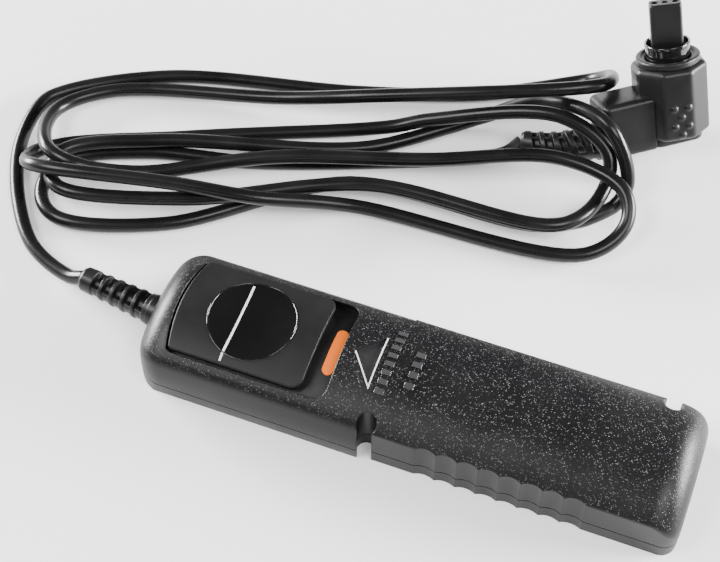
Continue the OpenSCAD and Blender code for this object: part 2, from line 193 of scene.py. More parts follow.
CORD_DIAMETER = 0.003
CORD_STEPS = 16
CORD_ROUTE = [
    (-0.072, 0.0026, 0.0044), (-0.076, 0.003, 0.0025), (-0.0875, 0.0085, 0.0015),
    (-0.1, 0.0275, 0.0015), (-0.1015, 0.042, 0.0015), (-0.0985, 0.0465, 0.0015),
    (-0.0785, 0.0585, 0.0015), (-0.039, 0.0685, 0.0015), (-0.014, 0.077, 0.0015),
    (0.0075, 0.088, 0.003), (0.0125, 0.086, 0.0085), (0.0115, 0.0775, 0.0145),
    (-0.034, 0.0625, 0.009), (-0.0525, 0.0595, 0.004), (-0.0885, 0.05, 0.002),
    (-0.097, 0.0405, 0.003), (-0.092, 0.0275, 0.008), (-0.085, 0.0255, 0.008),
    (-0.074, 0.031, 0.003), (-0.0475, 0.0435, 0.005), (-0.0175, 0.0535, 0.0055),
    (0.0085, 0.0615, 0.008), (0.023, 0.058, 0.008), (0.0255, 0.052, 0.005),
    (0.0195, 0.044, 0.0025), (-0.0285, 0.039, 0.0025), (-0.047, 0.031, 0.007),
    (-0.0635, 0.0275, 0.0085), (-0.0915, 0.022, 0.0085), (-0.096, 0.025, 0.005),
    (-0.095, 0.031, 0.002), (-0.069, 0.044, 0.0015), (-0.029, 0.061, 0.0025),
    (-0.02, 0.064, 0.0055), (0.006, 0.0685, 0.0125), (0.0175, 0.0655, 0.009),
    (0.019, 0.06, 0.005), (0.0135, 0.0475, 0.0055), (-0.027, 0.0435, 0.005),
    (-0.061, 0.027, 0.005), (-0.0855, 0.02, 0.006), (-0.09, 0.024, 0.005),
    (-0.0895, 0.03, 0.005), (-0.072, 0.0395, 0.0045), (-0.0315, 0.055, 0.0015),
    (-0.011, 0.0705, 0.0025), (0.0005, 0.074, 0.009), (0.016, 0.068, 0.0145),
    (0.023, 0.0625, 0.0055), (0.0215, 0.058, 0.0015), (0.0095, 0.048, 0.0025),
    (-0.0315, 0.045, 0.0015), (-0.0635, 0.022, 0.0015), (-0.085, 0.0155, 0.002),
    (-0.091, 0.0205, 0.0015), (-0.0905, 0.029, 0.0015), (-0.075, 0.0375, 0.0015),
    (-0.0525, 0.043, 0.0015), (-0.02, 0.0555, 0.0015), (-0.0035, 0.063, 0.0025),
    (-0.0008, 0.066, 0.004)
]


def make_cord():
    line = smooth_line(CORD_ROUTE, CORD_STEPS, CORD_DIAMETER / 2)
    curve = bpy.data.curves.new("cord_sheath", "CURVE")
    curve.dimensions = "3D"
    spline = curve.splines.new("POLY")
    spline.points.add(len(line) - 1)
    for point, p in zip(spline.points, line):
        point.co = (*p, 1)
    curve.bevel_depth = CORD_DIAMETER / 2
    curve.bevel_resolution = 7
    curve.use_fill_caps = True
    outline = linked("cord_outline", curve)
    mesh = baked_mesh(outline)
    bpy.data.objects.remove(outline, do_unlink=True)
    mesh.name = "cord_sheath"
    shade_smooth(mesh)
    cord = linked("cord_sheath", mesh)
    return declared(cord, "handset", ["cord"]), line


cord_sheath, cord_line = make_cord()


# ---------- strain reliefs ----------

def swept(line, radius, sides):
    """Closed tube of rings along a line; radius(s, a) gives each ring point's radius."""
    bm = bmesh.new()
    rings = []
    total = line_length(line)
    s = 0.0
    for i, p in enumerate(line):
        if i:
            s += (p - line[i - 1]).length
        way = (line[min(i + 1, len(line) - 1)] - line[max(i - 1, 0)]).normalized()
        side = way.cross(Vector((0, 0, 1))).normalized()
        up = side.cross(way)
        ring = []
        for j in range(sides):
            a = 2 * math.pi * j / sides
            r = radius(s / total, a)
            ring.append(bm.verts.new(p + r * (math.cos(a) * side + math.sin(a) * up)))
        rings.append(ring)
    skin(bm, rings)
    return bm


def bump_window(x, half):
    """1 inside a window of that half size, falling smoothly to 0 at its edge."""
    d = abs(x) / half
    if d >= 1.25:
        return 0.0
    if d <= 0.75:
        return 1.0
    t = (1.25 - d) / 0.5
    return t * t * (3 - 2 * t)


CORD_HOLE_HEIGHT = 5.0


def make_body_relief():
    """Ribbed boot with five oval windows on its top and its underside."""
    root = Vector((-HEAD_REACH, 0, CORD_HOLE_HEIGHT)) * MM
    tip = Vector((-72, 2.6, 4.4)) * MM
    start = root + (tip - root) * 0.001
    line = [start.lerp(tip, i / 240) for i in range(241)]
    windows = [0.20, 0.345, 0.49, 0.635, 0.78]

    def radius(s, a):
        r = 3.2 + (2.5 - 3.2) * s
        if s < 0.09:
            r = 3.3
        cut = 0.0
        notch = 0.0
        for w in windows:
            across = bump_window(s - w, 0.045)
            turn = min(abs(a - math.pi / 2), abs(a - 3 * math.pi / 2))
            cut = max(cut, across * bump_window(turn, math.radians(52)))
            notch = max(notch, across)
        end = min(1.0, (1 - s) / 0.03)
        return (r - 0.95 * cut - 0.28 * notch - 0.3 * (1 - end)) * MM

    bm = swept(line, radius, 96)
    # the hub through the shell's wall, and the flange behind it
    for x, r, h in ((-53.3, 2.4, 1.9), (-52.2, 3.3, 0.88)):
        cylinder(bm, r, h, moved(x, 0, CORD_HOLE_HEIGHT) @ LYING, 64)
    return add_object("strain_relief_boot", bm, "handset",
                      ["body_strain_relief"])


PLUG_RELIEF_ROUTE = [(0.0148, 0.0706, 0.0057), (0.0075, 0.067, 0.0052), (-0.0008, 0.066, 0.004)]


def make_plug_relief():
    """Tapered bent boot with slanted slots."""
    line = smooth_line(PLUG_RELIEF_ROUTE, 110)
    windows = [0.14, 0.31, 0.48, 0.65, 0.81]

    def radius(s, a):
        r = 4.05 + (2.35 - 4.05) * s ** 0.85
        cut = 0.0
        for w in windows:
            lean = 0.05 * math.sin(a - math.pi / 2)
            across = bump_window(s - w + lean, 0.042)
            turn = min(abs(a - math.pi / 2), abs(a - 3 * math.pi / 2))
            cut = max(cut, across * bump_window(turn, math.radians(62)))
        end = min(1.0, (1 - s) / 0.04)
        return (r - 1.25 * cut - 0.35 * (1 - end)) * MM

    bm = swept(line, radius, 96)
    return add_object("plug_relief_boot", bm, "handset",
                      ["plug_strain_relief"])


body_relief = make_body_relief()
plug_relief = make_plug_relief()


# ---------- upper shell ----------

JOINT_HEIGHT = 3.4
END_ROLL = 6.0
WALL = 1.5
CROWN_RADIUS = 22.0
CROWN_TOP = 14.4
HEAD_END = -5.6
NEAR_CLIP = (-6.9, -11.9)
FAR_CLIP = (44.8, 11.9)
CLIP_RADIUS = 1.9
CLIP_MOUTH = 1.35
CLIP_BOSS_RADIUS = 3.3
SCREW_PLACES = ((4.0, 0.0), (44.0, 0.0))
SCREW_BOSS_RADIUS = 2.6
SCREW_HOLE_RADIUS = 1.02
CORD_HOLE_RADIUS = 2.42
SCALLOPS = 8
SCALLOP_START = 2.9
SCALLOP_PITCH = 4.05
SCALLOP_DEPTH = 0.5
SCALLOP_SIDE = -12.7


def crown_height(y):
    return CROWN_TOP - CROWN_RADIUS + math.sqrt(CROWN_RADIUS ** 2 - y * y)


def rolled(depth, radius):
    """How far a rounded edge has dropped at a depth inside it."""
    if depth >= radius:
        return 0.0
    return radius - math.sqrt(max(0.0, radius ** 2 - (radius - depth) ** 2))


def eased(x, x0, x1):
    t = min(1.0, max(0.0, (x - x0) / (x1 - x0)))
    return t * t * (3 - 2 * t)


def shell_section(x, inset, lowest):
    """Half of the cross-section at x, from the bottom of the side up to the middle."""
    to_grip = eased(x, HEAD_END - 0.35, HEAD_END)
    depth = (x + HEAD_REACH if x < 0 else TAIL_REACH - x) - inset
    corner = (END_ROLL if x < 0 else 3.0) - inset
    half = 14.0 + (13.2 - 14.0) * to_grip - inset - rolled(depth, corner)
    bow = 22.9 + (900.0 - 22.9) * to_grip
    fillet = 3.2 + (0.7 - 3.2) * to_grip
    if x > 0:
        fillet += 1.9 * (1 - eased(depth, 0, 7))
    drop = rolled(depth, END_ROLL - inset)
    top = Vector((0, CROWN_TOP - CROWN_RADIUS - drop))
    side = Vector((half - bow, JOINT_HEIGHT))
    r_top = CROWN_RADIUS - inset - fillet
    r_side = bow - fillet
    # the fillet's centre is where the two offset circles cross
    gap = (side - top).length
    along = (r_top ** 2 - r_side ** 2 + gap ** 2) / (2 * gap)
    across = math.sqrt(max(0.0, r_top ** 2 - along ** 2))
    way = (side - top) / gap
    centre = top + along * way + across * Vector((way.y, -way.x))
    a_side = math.atan2(centre.y - side.y, centre.x - side.x)
    a_top = math.atan2(centre.y - top.y, centre.x - top.x)
    a_low = math.asin((lowest - JOINT_HEIGHT) / bow)
    points = []
    for i in range(12):
        a = a_low + (a_side - a_low) * i / 12
        points.append((side.x + bow * math.cos(a), side.y + bow * math.sin(a)))
    for i in range(12):
        a = a_side + (a_top - a_side) * i / 12
        points.append((centre.x + fillet * math.cos(a), centre.y + fillet * math.sin(a)))
    r = CROWN_RADIUS - inset
    for i in range(29):
        a = a_top + (math.pi / 2 - a_top) * i / 28
        points.append((top.x + r * math.cos(a), top.y + r * math.sin(a)))
    return points


def shell_form(inset, lowest):
    """Closed form of the handset above a height, shrunk by an inset."""
    radius = END_ROLL - inset
    steps = [radius * (1 - math.cos(math.pi / 2 * i / 30)) for i in range(31)]
    stations = [inset - HEAD_REACH + d for d in steps]
    stations += [x for x in (-47.5 + 1.5 * i for i in range(28)) if x < HEAD_END - 0.6]
    stations += [HEAD_END - 0.5 + 0.05 * i for i in range(12)]
    stations += [x for x in (HEAD_END + 1.5 * i for i in range(1, 40))
                 if x < TAIL_REACH - inset - radius - 0.3]
    stations += [TAIL_REACH - inset - d for d in steps]
    stations = sorted(set(round(x, 4) for x in stations))
    bm = bmesh.new()
    rings = []
    for x in stations:
        right = shell_section(x, inset, lowest)
        whole = [(-y, z) for y, z in right] + [(y, z) for y, z in right[-2::-1]]
        rings.append([bm.verts.new(Vector((x, y, z)) * MM) for y, z in whole])
    skin(bm, rings)
    return bm


def prism(outline, z0, z1):
    """Straight-sided solid over a flat outline."""
    bm = bmesh.new()
    skin(bm, [[bm.verts.new(Vector((x, y, z)) * MM) for x, y in outline] for z in (z0, z1)])
    return bm


def disc(x, y, radius, sides=72):
    return [(x + radius * math.cos(2 * math.pi * i / sides),
             y + radius * math.sin(2 * math.pi * i / sides)) for i in range(sides)]


WELL_LEFT = -48.9
WELL_RIGHT = -15.9
WELL_HALF_WIDTH = 10.8
WELL_CORNER = 2.7
WELL_BOW = 45.0


def well_outline():
    """Round-cornered rectangle whose cord end is bowed."""
    x0, x1, half, r = WELL_LEFT, WELL_RIGHT, WELL_HALF_WIDTH, WELL_CORNER
    outline = []
    for cx, cy, start in ((x1 - r, half - r, 0), (x0 + r, half - r, 90),
                          (x0 + r, r - half, 180), (x1 - r, r - half, 270)):
        for i in range(19):
            a = math.radians(start + 5 * i)
            outline.append((cx + r * math.cos(a), cy + r * math.sin(a)))
        if start == 90:
            outline += [(x0, (half - r) * (1 - i / 12)) for i in range(1, 24)]
    return [(max(x, x0 + WELL_BOW - math.sqrt(WELL_BOW ** 2 - y * y)), y) for x, y in outline]


ARROW = ((-13.6, 0.3), (-8.7, 5.3), (-8.7, -6.3))


def arrow_body(rim, low, high):
    """Triangular body whose floor and, unless high is None, top follow the crown."""
    (tip_x, tip_y), (back_x, far_y), (_, near_y) = ARROW
    bm = bmesh.new()
    rings = []
    for i in range(49):
        y = near_y + rim + (far_y - near_y - 2 * rim) * i / 48
        x1 = back_x - rim
        if y > tip_y:
            x0 = tip_x + (back_x - tip_x) * (y - tip_y) / (far_y - tip_y) + rim
        else:
            x0 = tip_x + (back_x - tip_x) * (tip_y - y) / (tip_y - near_y) + rim
        x0 = min(x0, x1 - 0.01)
        z0 = crown_height(y) + low
        z1 = 18 if high is None else crown_height(y) + high
        ring = ((x0, z0), (x1, z0), (x1, z1), (x0, z1))
        rings.append([bm.verts.new(Vector((px, y, pz)) * MM) for px, pz in ring])
    skin(bm, rings)
    return bm


def cut(obj, cutters):
    """Take closed forms out of an object, one after another, then throw them away."""
    tools = []
    for bm in cutters:
        tool = as_object(obj.name + "_cut", bm)
        step = obj.modifiers.new("cut", "BOOLEAN")
        step.operation = "DIFFERENCE"
        step.solver = "EXACT"
        step.object = tool
        tools.append(tool)
    mesh = baked_mesh(obj)
    obj.modifiers.clear()
    obj.data = mesh
    for tool in tools:
        bpy.data.objects.remove(tool, do_unlink=True)
    return obj


def clip_cutters():
    """Bore and open mouth of each storage clip; out says which side the mouth faces."""
    cutters = []
    for (x, y), out in ((NEAR_CLIP, -1), (FAR_CLIP, 1)):
        mouth = [(x - CLIP_MOUTH, y), (x + CLIP_MOUTH, y), (x + CLIP_MOUTH, y + 9 * out),
                 (x - CLIP_MOUTH, y + 9 * out)]
        cutters += [prism(disc(x, y, CLIP_RADIUS), -1, 20), prism(mouth, -1, 20)]
    return cutters


def scallop_cutters():
    """Row of shallow round hollows in the grip side, each a slice of a large circle."""
    reach = ((SCALLOP_PITCH / 2) ** 2 + SCALLOP_DEPTH ** 2) / (2 * SCALLOP_DEPTH)
    return [prism(disc(SCALLOP_START + (i + 0.5) * SCALLOP_PITCH, SCALLOP_SIDE - reach, reach,
                       240), -1, 20) for i in range(SCALLOPS)]


def make_upper_shell():
    cavity = as_object("cavity", shell_form(WALL, 1.0))
    cut(cavity, [prism(disc(x, y, CLIP_BOSS_RADIUS), 0, 20) for x, y in (NEAR_CLIP, FAR_CLIP)]
        + [prism(disc(x, y, SCREW_BOSS_RADIUS), 0, 20) for x, y in SCREW_PLACES])
    hollow = taken_back(cavity)
    shell = as_object("top_shell", shell_form(0, JOINT_HEIGHT + 0.12))
    hole = bmesh.new()
    cylinder(hole, CORD_HOLE_RADIUS, 5, moved(-53.2, 0, CORD_HOLE_HEIGHT) @ LYING)
    cut(shell, [hollow, prism(well_outline(), 5, 20), arrow_body(0.02, -0.4, None)]
        + clip_cutters() + scallop_cutters() + [hole]
        + [prism(disc(x, y, SCREW_HOLE_RADIUS), 2, 9.4) for x, y in SCREW_PLACES])
    shade_smooth(shell.data)
    shell.data.set_sharp_from_angle(angle=math.radians(28))
    return declared(shell, "handset", ["upper_shell"])


def make_legend():
    """Two rows of low raised dashes that follow the crown."""
    bm = bmesh.new()
    bars = [(-7.6, 7.2 - 1.9 * i, 0.5, 2.0) for i in range(8)]
    bars += [(-2.7, 3.4 - 2.3 * i, 0.6, 2.0) for i in range(4)]
    for x, y, half, long in bars:
        rings = []
        for i in range(7):
            py = y - half + 2 * half * i / 6
            low, high = crown_height(py) - 0.15, crown_height(py) + 0.2
            ring = ((x, low), (x + long, low), (x + long - 0.1, high), (x + 0.1, high))
            rings.append([bm.verts.new(Vector((px, py, pz)) * MM) for px, pz in ring])
        skin(bm, rings)
    return add_object("legend_dashes", bm, "handset", smooth=False)


def crown_strip(bm, start, finish, half, low, high):
    """Thin strip from one plan point to another that follows the crown."""
    steps = 24
    a, b = Vector(start), Vector(finish)
    side = (b - a).normalized().orthogonal() * half
    rings = []
    for i in range(steps + 1):
        p = a.lerp(b, i / steps)
        ring = []
        for q, lift in ((p - side, low), (p + side, low), (p + side, high), (p - side, high)):
            ring.append(bm.verts.new(Vector((q.x, q.y, crown_height(q.y) + lift)) * MM))
        rings.append(ring)
    skin(bm, rings)


def make_arrow_highlights():
    """Painted highlights: white strips along two sides of the recessed triangle, standing in for
    its lit edges.
    """
    tip, far, near = (Vector(p) for p in ARROW)
    bm = bmesh.new()
    crown_strip(bm, tip + Vector((0.1, -0.2)), near + Vector((-0.25, 0.5)), 0.12, -0.3, 0.04)
    crown_strip(bm, far + Vector((-0.1, -0.25)), near + Vector((-0.1, 0.1)), 0.13, -0.3, 0.04)
    return add_object("arrow_painted_highlights", bm, "handset", smooth=False)


DISH_X = -34.2
DISH_RADIUS = 8.5
PLATE_CROWN = 30
PLATE_TOP = 14.3
RIM_WIRE = 0.17
RIM_SUNK = 0.06


def make_rim():
    """Thin polished bead around the thumb dish, following the plate's crown."""
    bm = bmesh.new()
    rings = []
    for i in range(240):
        a = 2 * math.pi * i / 240
        y = DISH_RADIUS * math.sin(a)
        rise = math.sqrt(PLATE_CROWN ** 2 - y * y)
        out = Vector((math.cos(a), math.sin(a), -y / rise * math.sin(a))).normalized()
        up = Vector((0, y / PLATE_CROWN, rise / PLATE_CROWN))
        middle = Vector((DISH_X + DISH_RADIUS * math.cos(a), y,
                         PLATE_TOP - PLATE_CROWN + rise - RIM_SUNK))
        ring = []
        for j in range(12):
            b = 2 * math.pi * j / 12
            point = middle + RIM_WIRE * (math.cos(b) * out + math.sin(b) * up)
            ring.append(bm.verts.new(point * MM))
        rings.append(ring)
    skin(bm, rings, closed=True)
    return add_object("dish_rim", bm, "button")


top_shell = make_upper_shell()
legend = make_legend()
dish_rim = make_rim()
# painted highlights: white strips along the two lit edges of the arrow recess
arrow_painted_highlights = make_arrow_highlights()
arrow_floor = add_object("arrow_floor", arrow_body(0.04, -0.5, -0.36), "handset",
                         smooth=False)


# ---------- plug ----------

PLUG_HEADING = Matrix.Rotation(math.radians(216.87), 4, "Z")
PLUG_TILT = Matrix.Rotation(math.radians(30), 4, "X")
AT_PLUG = moved(28, 80.5, 4.1) @ PLUG_HEADING @ PLUG_TILT
BARREL_TURN = math.radians(-9.5)
BARREL_ACROSS = 14.8
BARREL_CORNER = 1.9
BARREL_TOP = 15.4
BARREL_BORE = 6.2
FILL_RADIUS = BARREL_BORE - 0.05
GRIP_DOT_RADIUS = 0.8
GRIP_DOTS = ((-0.5, 1.3), (-1.95, 3.2), (0.95, 3.2), (-0.5, 5.2), (-1.95, 7.2), (0.95, 7.2))
KEY_TURN = math.radians(-20)
KEY_WIDTH = 6.6
KEY_THICKNESS = 4.2
KEY_CORNER = 0.75
KEY_TOP = 28
CONTACT_RADIUS = 0.75
CONTACT_SPACING = 2.1
ARM_PLAN = (1, 16.5, -5, 5, 1.6)
FOOT_PLAN = (-5.4, 6.2, -5, 5, 2.4)


def octagon_ring(across, radius, inset, turn):
    """Eight-sided outline with round corners, shrunk by an inset."""
    reach = (across / 2 - radius) / math.cos(math.pi / 8)
    ring = []
    for k in range(8):
        middle = turn + math.pi / 4 * (k + 0.5)
        for i in range(12):
            a = turn + math.pi / 4 * (k + i / 11)
            ring.append((reach * math.cos(middle) + (radius - inset) * math.cos(a),
                         reach * math.sin(middle) + (radius - inset) * math.sin(a)))
    return ring


def round_ring(radius, turn=0.0):
    """Circle whose points line up with the octagon's."""
    ring = []
    for k in range(8):
        for i in range(12):
            a = turn + math.pi / 4 * (k + (i + 0.5) / 12)
            ring.append((radius * math.cos(a), radius * math.sin(a)))
    return ring


def box_ring(x0, x1, y0, y1, radius, inset, turn=0.0):
    """Rectangle with round corners, shrunk by an inset."""
    ring = []
    r = max(0.05, radius - inset)
    for cx, cy, start in ((x1 - radius, y1 - radius, 0), (x0 + radius, y1 - radius, 90),
                          (x0 + radius, y0 + radius, 180), (x1 - radius, y0 + radius, 270)):
        for i in range(13):
            a = math.radians(start + 7.5 * i)
            x, y = cx + r * math.cos(a), cy + r * math.sin(a)
            ring.append((x * math.cos(turn) - y * math.sin(turn),
                         x * math.sin(turn) + y * math.cos(turn)))
    return ring


def stacked(rings, closed=False):
    """Skin over rings given as (z, outline); open stacks get flat ends."""
    bm = bmesh.new()
    skin(bm, [[bm.verts.new(Vector((x, y, z)) * MM) for x, y in outline]
              for z, outline in rings], closed)
    return bm


def corner_steps(radius):
    """Pairs of (inset, rise) around a rounded edge, from its flat end to its wall."""
    count = 7
    return [(radius * (1 - math.sin(math.pi / 2 * i / count)),
             radius * (1 - math.cos(math.pi / 2 * i / count))) for i in range(count + 1)]


def turned(profile):
    """Closed ring of revolution from (radius, z) pairs."""
    return stacked([(z, round_ring(r)) for r, z in profile], closed=True)


def at_plug(name, bm, body, node):
    """Put a piece that is built upright at the origin in the plug's place."""
    bm.transform(AT_PLUG)
    obj = add_object(name, bm, body, [node])
    obj.data.set_sharp_from_angle(angle=math.radians(35))
    return obj


def barrel_ring_at(inset):
    return octagon_ring(BARREL_ACROSS, BARREL_CORNER, inset, BARREL_TURN)


def make_barrel():
    rings = [(rise, barrel_ring_at(inset)) for inset, rise in corner_steps(1.0)]
    rings += [(z, barrel_ring_at(0)) for z in (4, 8, 11)]
    rings += [(BARREL_TOP - rise, barrel_ring_at(inset))
              for inset, rise in corner_steps(1.3)[::-1]]
    lip = ((BARREL_TOP, 6.1), (BARREL_TOP, 4.8), (14.4, 4.8), (14.4, BARREL_BORE),
           (0, BARREL_BORE))
    rings += [(z, round_ring(r, BARREL_TURN)) for z, r in lip]
    bm = stacked(rings, closed=True)
    for x, z in GRIP_DOTS:
        place = (Matrix.Rotation(BARREL_TURN, 4, "Z") @ moved(x, 7.25, z)
                 @ Matrix.Rotation(math.pi / 2, 4, "X") @ Matrix.Diagonal((1, 1, 0.72, 1)))
        bmesh.ops.create_uvsphere(bm, u_segments=28, v_segments=16,
                                  radius=GRIP_DOT_RADIUS * MM, matrix=place)
    return at_plug("barrel_body", bm, "handset", "plug_barrel")


def make_ring():
    profile = [(4.8, 15.42), (6.5, 15.42), (6.65, 15.55)]
    profile += [(6.25 + 0.4 * math.cos(a), 16.4 + 0.4 * math.sin(a))
                for a in [math.pi / 2 * i / 8 for i in range(9)]]
    profile += [(5.7, 16.8), (5.55, 16.45), (5.0, 16.45), (4.8, 16.3)]
    return at_plug("barrel_ring", turned(profile), "handset", "plug_ring")


def make_sleeve():
    profile = [(4.3, 11.3), (5.8, 11.3), (5.8, 13.3), (4.55, 13.3), (4.55, 18.7), (4.75, 18.9)]
    profile += [(4.53 + 0.22 * math.cos(a), 19.38 + 0.22 * math.sin(a))
                for a in [math.pi * i / 12 for i in range(13)]]
    return at_plug("sleeve_tube", turned(profile), "sleeve", "lock_sleeve")


def key_ring(inset):
    half_w, half_t = KEY_WIDTH / 2, KEY_THICKNESS / 2
    return box_ring(-half_w, half_w, -half_t, half_t, KEY_CORNER, inset, KEY_TURN)


def make_key():
    rings = [(z, key_ring(0)) for z in (9.2, 14, 20, 25)]
    rings += [(KEY_TOP - rise, key_ring(inset)) for inset, rise in corner_steps(0.45)[::-1]]
    key = as_object("key_blank", stacked(rings))
    sockets = []
    for x in (-CONTACT_SPACING, 0, CONTACT_SPACING):
        place = (x * math.cos(KEY_TURN), x * math.sin(KEY_TURN))
        sockets.append(prism(disc(*place, CONTACT_RADIUS, 40), 12, 30))
    bm = taken_back(cut(key, sockets))
    cylinder(bm, FILL_RADIUS, 3.3, moved(0, 0, 7.65))
    return at_plug("key_body", bm, "handset", "connector_key")


def make_arm():
    rings = [(-1.8 + rise, box_ring(*ARM_PLAN, inset)) for inset, rise in corner_steps(0.9)]
    rings += [(z, box_ring(*ARM_PLAN, 0)) for z in (1, 4, 7)]
    rings += [(10 - rise, box_ring(*ARM_PLAN, inset)) for inset, rise in corner_steps(1.3)[::-1]]
    arm = as_object("arm_blank", stacked(rings))
    room = octagon_ring(BARREL_ACROSS + 0.04, BARREL_CORNER, 0, BARREL_TURN)
    bm = taken_back(cut(arm, [prism(room, -3, 12)]))
    return at_plug("arm_body", bm, "handset", "plug_arm")


def make_foot():
    rings = [(-1.75 + rise, box_ring(*FOOT_PLAN, inset)) for inset, rise in corner_steps(0.7)]
    rings += [(0, box_ring(*FOOT_PLAN, 0))]
    bm = stacked(rings)
    cylinder(bm, FILL_RADIUS, 1.5, moved(0, 0, 0.65))
    return at_plug("base_foot", bm, "handset", "plug_base")


plug_pieces = [make_barrel(), make_ring(), make_key(), make_arm(), make_foot()]
plug_sleeve = make_sleeve()


# ---------- parts that give way under the button ----------

CARRIAGE_TOP = 9.3
CUP_BOTTOM = 12.0
SPRING_RADIUS = 2.5
SPRING_WIRE = 0.2
SPRING_TURNS = 3
LEAF_ROOT = -43.4
LEAF_TIP = -25.4
LEAF_HALF_WIDTH = 1.4
LEAF_THICKNESS = 0.18


def make_spring():
    """Coil between the carriage and the dish's cup, its wire ends ground thin."""
    low, high = CARRIAGE_TOP + SPRING_WIRE, CUP_BOTTOM - SPRING_WIRE
    steps = 36 * SPRING_TURNS
    line = []
    for i in range(steps + 1):
        a = math.radians(10 * i)
        line.append(Vector((DISH_X + SPRING_RADIUS * math.cos(a), SPRING_RADIUS * math.sin(a),
                            low + (high - low) * i / steps)) * MM)
    wire = swept(line, lambda s, a: SPRING_WIRE * MM * min(1, 0.4 + 30 * min(s, 1 - s)), 10)
    spring = add_object("spring_coil", wire, "carriage", ["return_spring"])
    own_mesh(spring)
    return spring


def make_leaf(name, node, low):
    """Contact strip with a round tip and a slit, its underside at height low."""
    half = LEAF_HALF_WIDTH
    outline = [(LEAF_ROOT, half), (LEAF_ROOT, -half)]
    for i in range(19):
        a = math.radians(10 * i)
        outline.append((LEAF_TIP - half + half * math.sin(a), -half * math.cos(a)))
    slit = [(-41, -0.25), (-37, -0.25), (-37, 0.25), (-41, 0.25)]
    top = low + LEAF_THICKNESS
    leaf = cut(as_object(name, prism(outline, low, top)), [prism(slit, low - 1, low + 1)])
    declared(leaf, "handset", [node])
    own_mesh(leaf)
    return leaf


spring_coil = make_spring()
common_strip = make_leaf("common_strip", "common_leaf", 5.96)
half_press_strip = make_leaf("half_press_strip", "half_press_leaf", 5.46)


# ---------- floor, light ----------

def make_floor():
    bm = bmesh.new()
    bmesh.ops.create_grid(bm, x_segments=2, y_segments=2, size=3.0)
    mesh = bpy.data.meshes.new("floor")
    bm.to_mesh(mesh)
    bm.free()
    floor = linked("floor", mesh)
    floor.location.z = -0.05 * MM
    material = bpy.data.materials.new("floor_white")
    material.use_nodes = True
    shader = material.node_tree.nodes["Principled BSDF"]
    shader.inputs["Base Color"].default_value = (0.93, 0.93, 0.93, 1)
    shader.inputs["Roughness"].default_value = 0.7
    shader.inputs["Specular IOR Level"].default_value = 0.2
    shader.inputs["Emission Color"].default_value = (1, 1, 1, 1)
    shader.inputs["Emission Strength"].default_value = 0.3
    mesh.materials.append(material)


def area_light(name, place, target, size, power, ratio=1.0):
    data = bpy.data.lights.new(name, "AREA")
    data.shape = "RECTANGLE"
    data.size = size
    data.size_y = size * ratio
    data.energy = power
    light = linked(name, data)
    light.location = place
    way = Vector(target) - Vector(place)
    light.rotation_mode = "QUATERNION"
    light.rotation_quaternion = way.to_track_quat("-Z", "Y")


def make_lights():
    world = bpy.data.worlds.new("studio")
    world.use_nodes = True
    sky = world.node_tree.nodes["Background"]
    sky.inputs["Color"].default_value = (1, 1, 1, 1)
    sky.inputs["Strength"].default_value = 0.06
    bpy.context.scene.world = world
    middle = (-0.02, 0.03, 0)
    area_light("key", (-0.5, -0.35, 0.85), middle, 0.5, 9, 0.7)
    area_light("fill", (0.45, -0.25, 0.8), middle, 0.5, 6, 0.7)
    area_light("right_side", (0.84, 0.42, 0.24), middle, 0.55, 46, 0.45)
    area_light("left_side", (-0.98, 0.22, 0.22), middle, 0.55, 44, 0.45)
    area_light("front", (0.1, -0.9, 0.3), middle, 0.6, 1.0, 0.4)


make_floor()
make_lights()


# ---------- materials ----------

def new_material(name):
    material = bpy.data.materials.new(name)
    material.use_nodes = True
    tree = material.node_tree
    return material, tree, tree.nodes["Principled BSDF"]


def add_node(tree, kind, **settings):
    node = tree.nodes.new(kind)
    for key, value in settings.items():
        if key in node.inputs:
            node.inputs[key].default_value = value
        else:
            setattr(node, key, value)
    return node


def spread_over(tree, source, from_min, from_max, to_min=0.0, to_max=1.0):
    """Map an output's range onto another; gives the new output."""
    spread = add_node(tree, "ShaderNodeMapRange")
    for socket, value in (("From Min", from_min), ("From Max", from_max),
                          ("To Min", to_min), ("To Max", to_max)):
        spread.inputs[socket].default_value = value
    tree.links.new(source, spread.inputs["Value"])
    return spread.outputs["Result"]


def times(tree, a, b):
    product = add_node(tree, "ShaderNodeMath", operation="MULTIPLY")
    tree.links.new(a, product.inputs[0])
    tree.links.new(b, product.inputs[1])
    return product.outputs["Value"]


def add_painted_glints(tree, place, base, normal, glint_brightness):
    """Painted glints: bright specks painted into the base colour on faces that look up, over a
    real raised bump; gives the new colour and normal.
    """
    link = tree.links.new
    cells = add_node(tree, "ShaderNodeTexVoronoi", Scale=1 / (0.3 * MM))
    link(place.outputs["Object"], cells.inputs["Vector"])
    speck = spread_over(tree, cells.outputs["Distance"], 0.42, 0.2)
    split = add_node(tree, "ShaderNodeSeparateColor")
    link(cells.outputs["Color"], split.inputs["Color"])
    few = spread_over(tree, split.outputs["Red"], 0.5, 1.0)
    facing = add_node(tree, "ShaderNodeNewGeometry")
    way = add_node(tree, "ShaderNodeSeparateXYZ")
    link(facing.outputs["True Normal"], way.inputs["Vector"])
    crown = spread_over(tree, way.outputs["Z"], 0.45, 0.75)
    specks = times(tree, times(tree, speck, few), crown)
    # painted glints: the specks lift the near-black base colour to a light grey
    light = add_node(tree, "ShaderNodeMix", data_type="RGBA")
    light.inputs["B"].default_value = (glint_brightness, glint_brightness, glint_brightness * 1.02, 1)
    link(specks, light.inputs["Factor"])
    link(base, light.inputs["A"])
    raised = add_node(tree, "ShaderNodeBump", Strength=0.8, Distance=0.06 * MM)
    link(specks, raised.inputs["Height"])
    link(normal, raised.inputs["Normal"])
    return light.outputs["Result"], raised.outputs["Normal"]


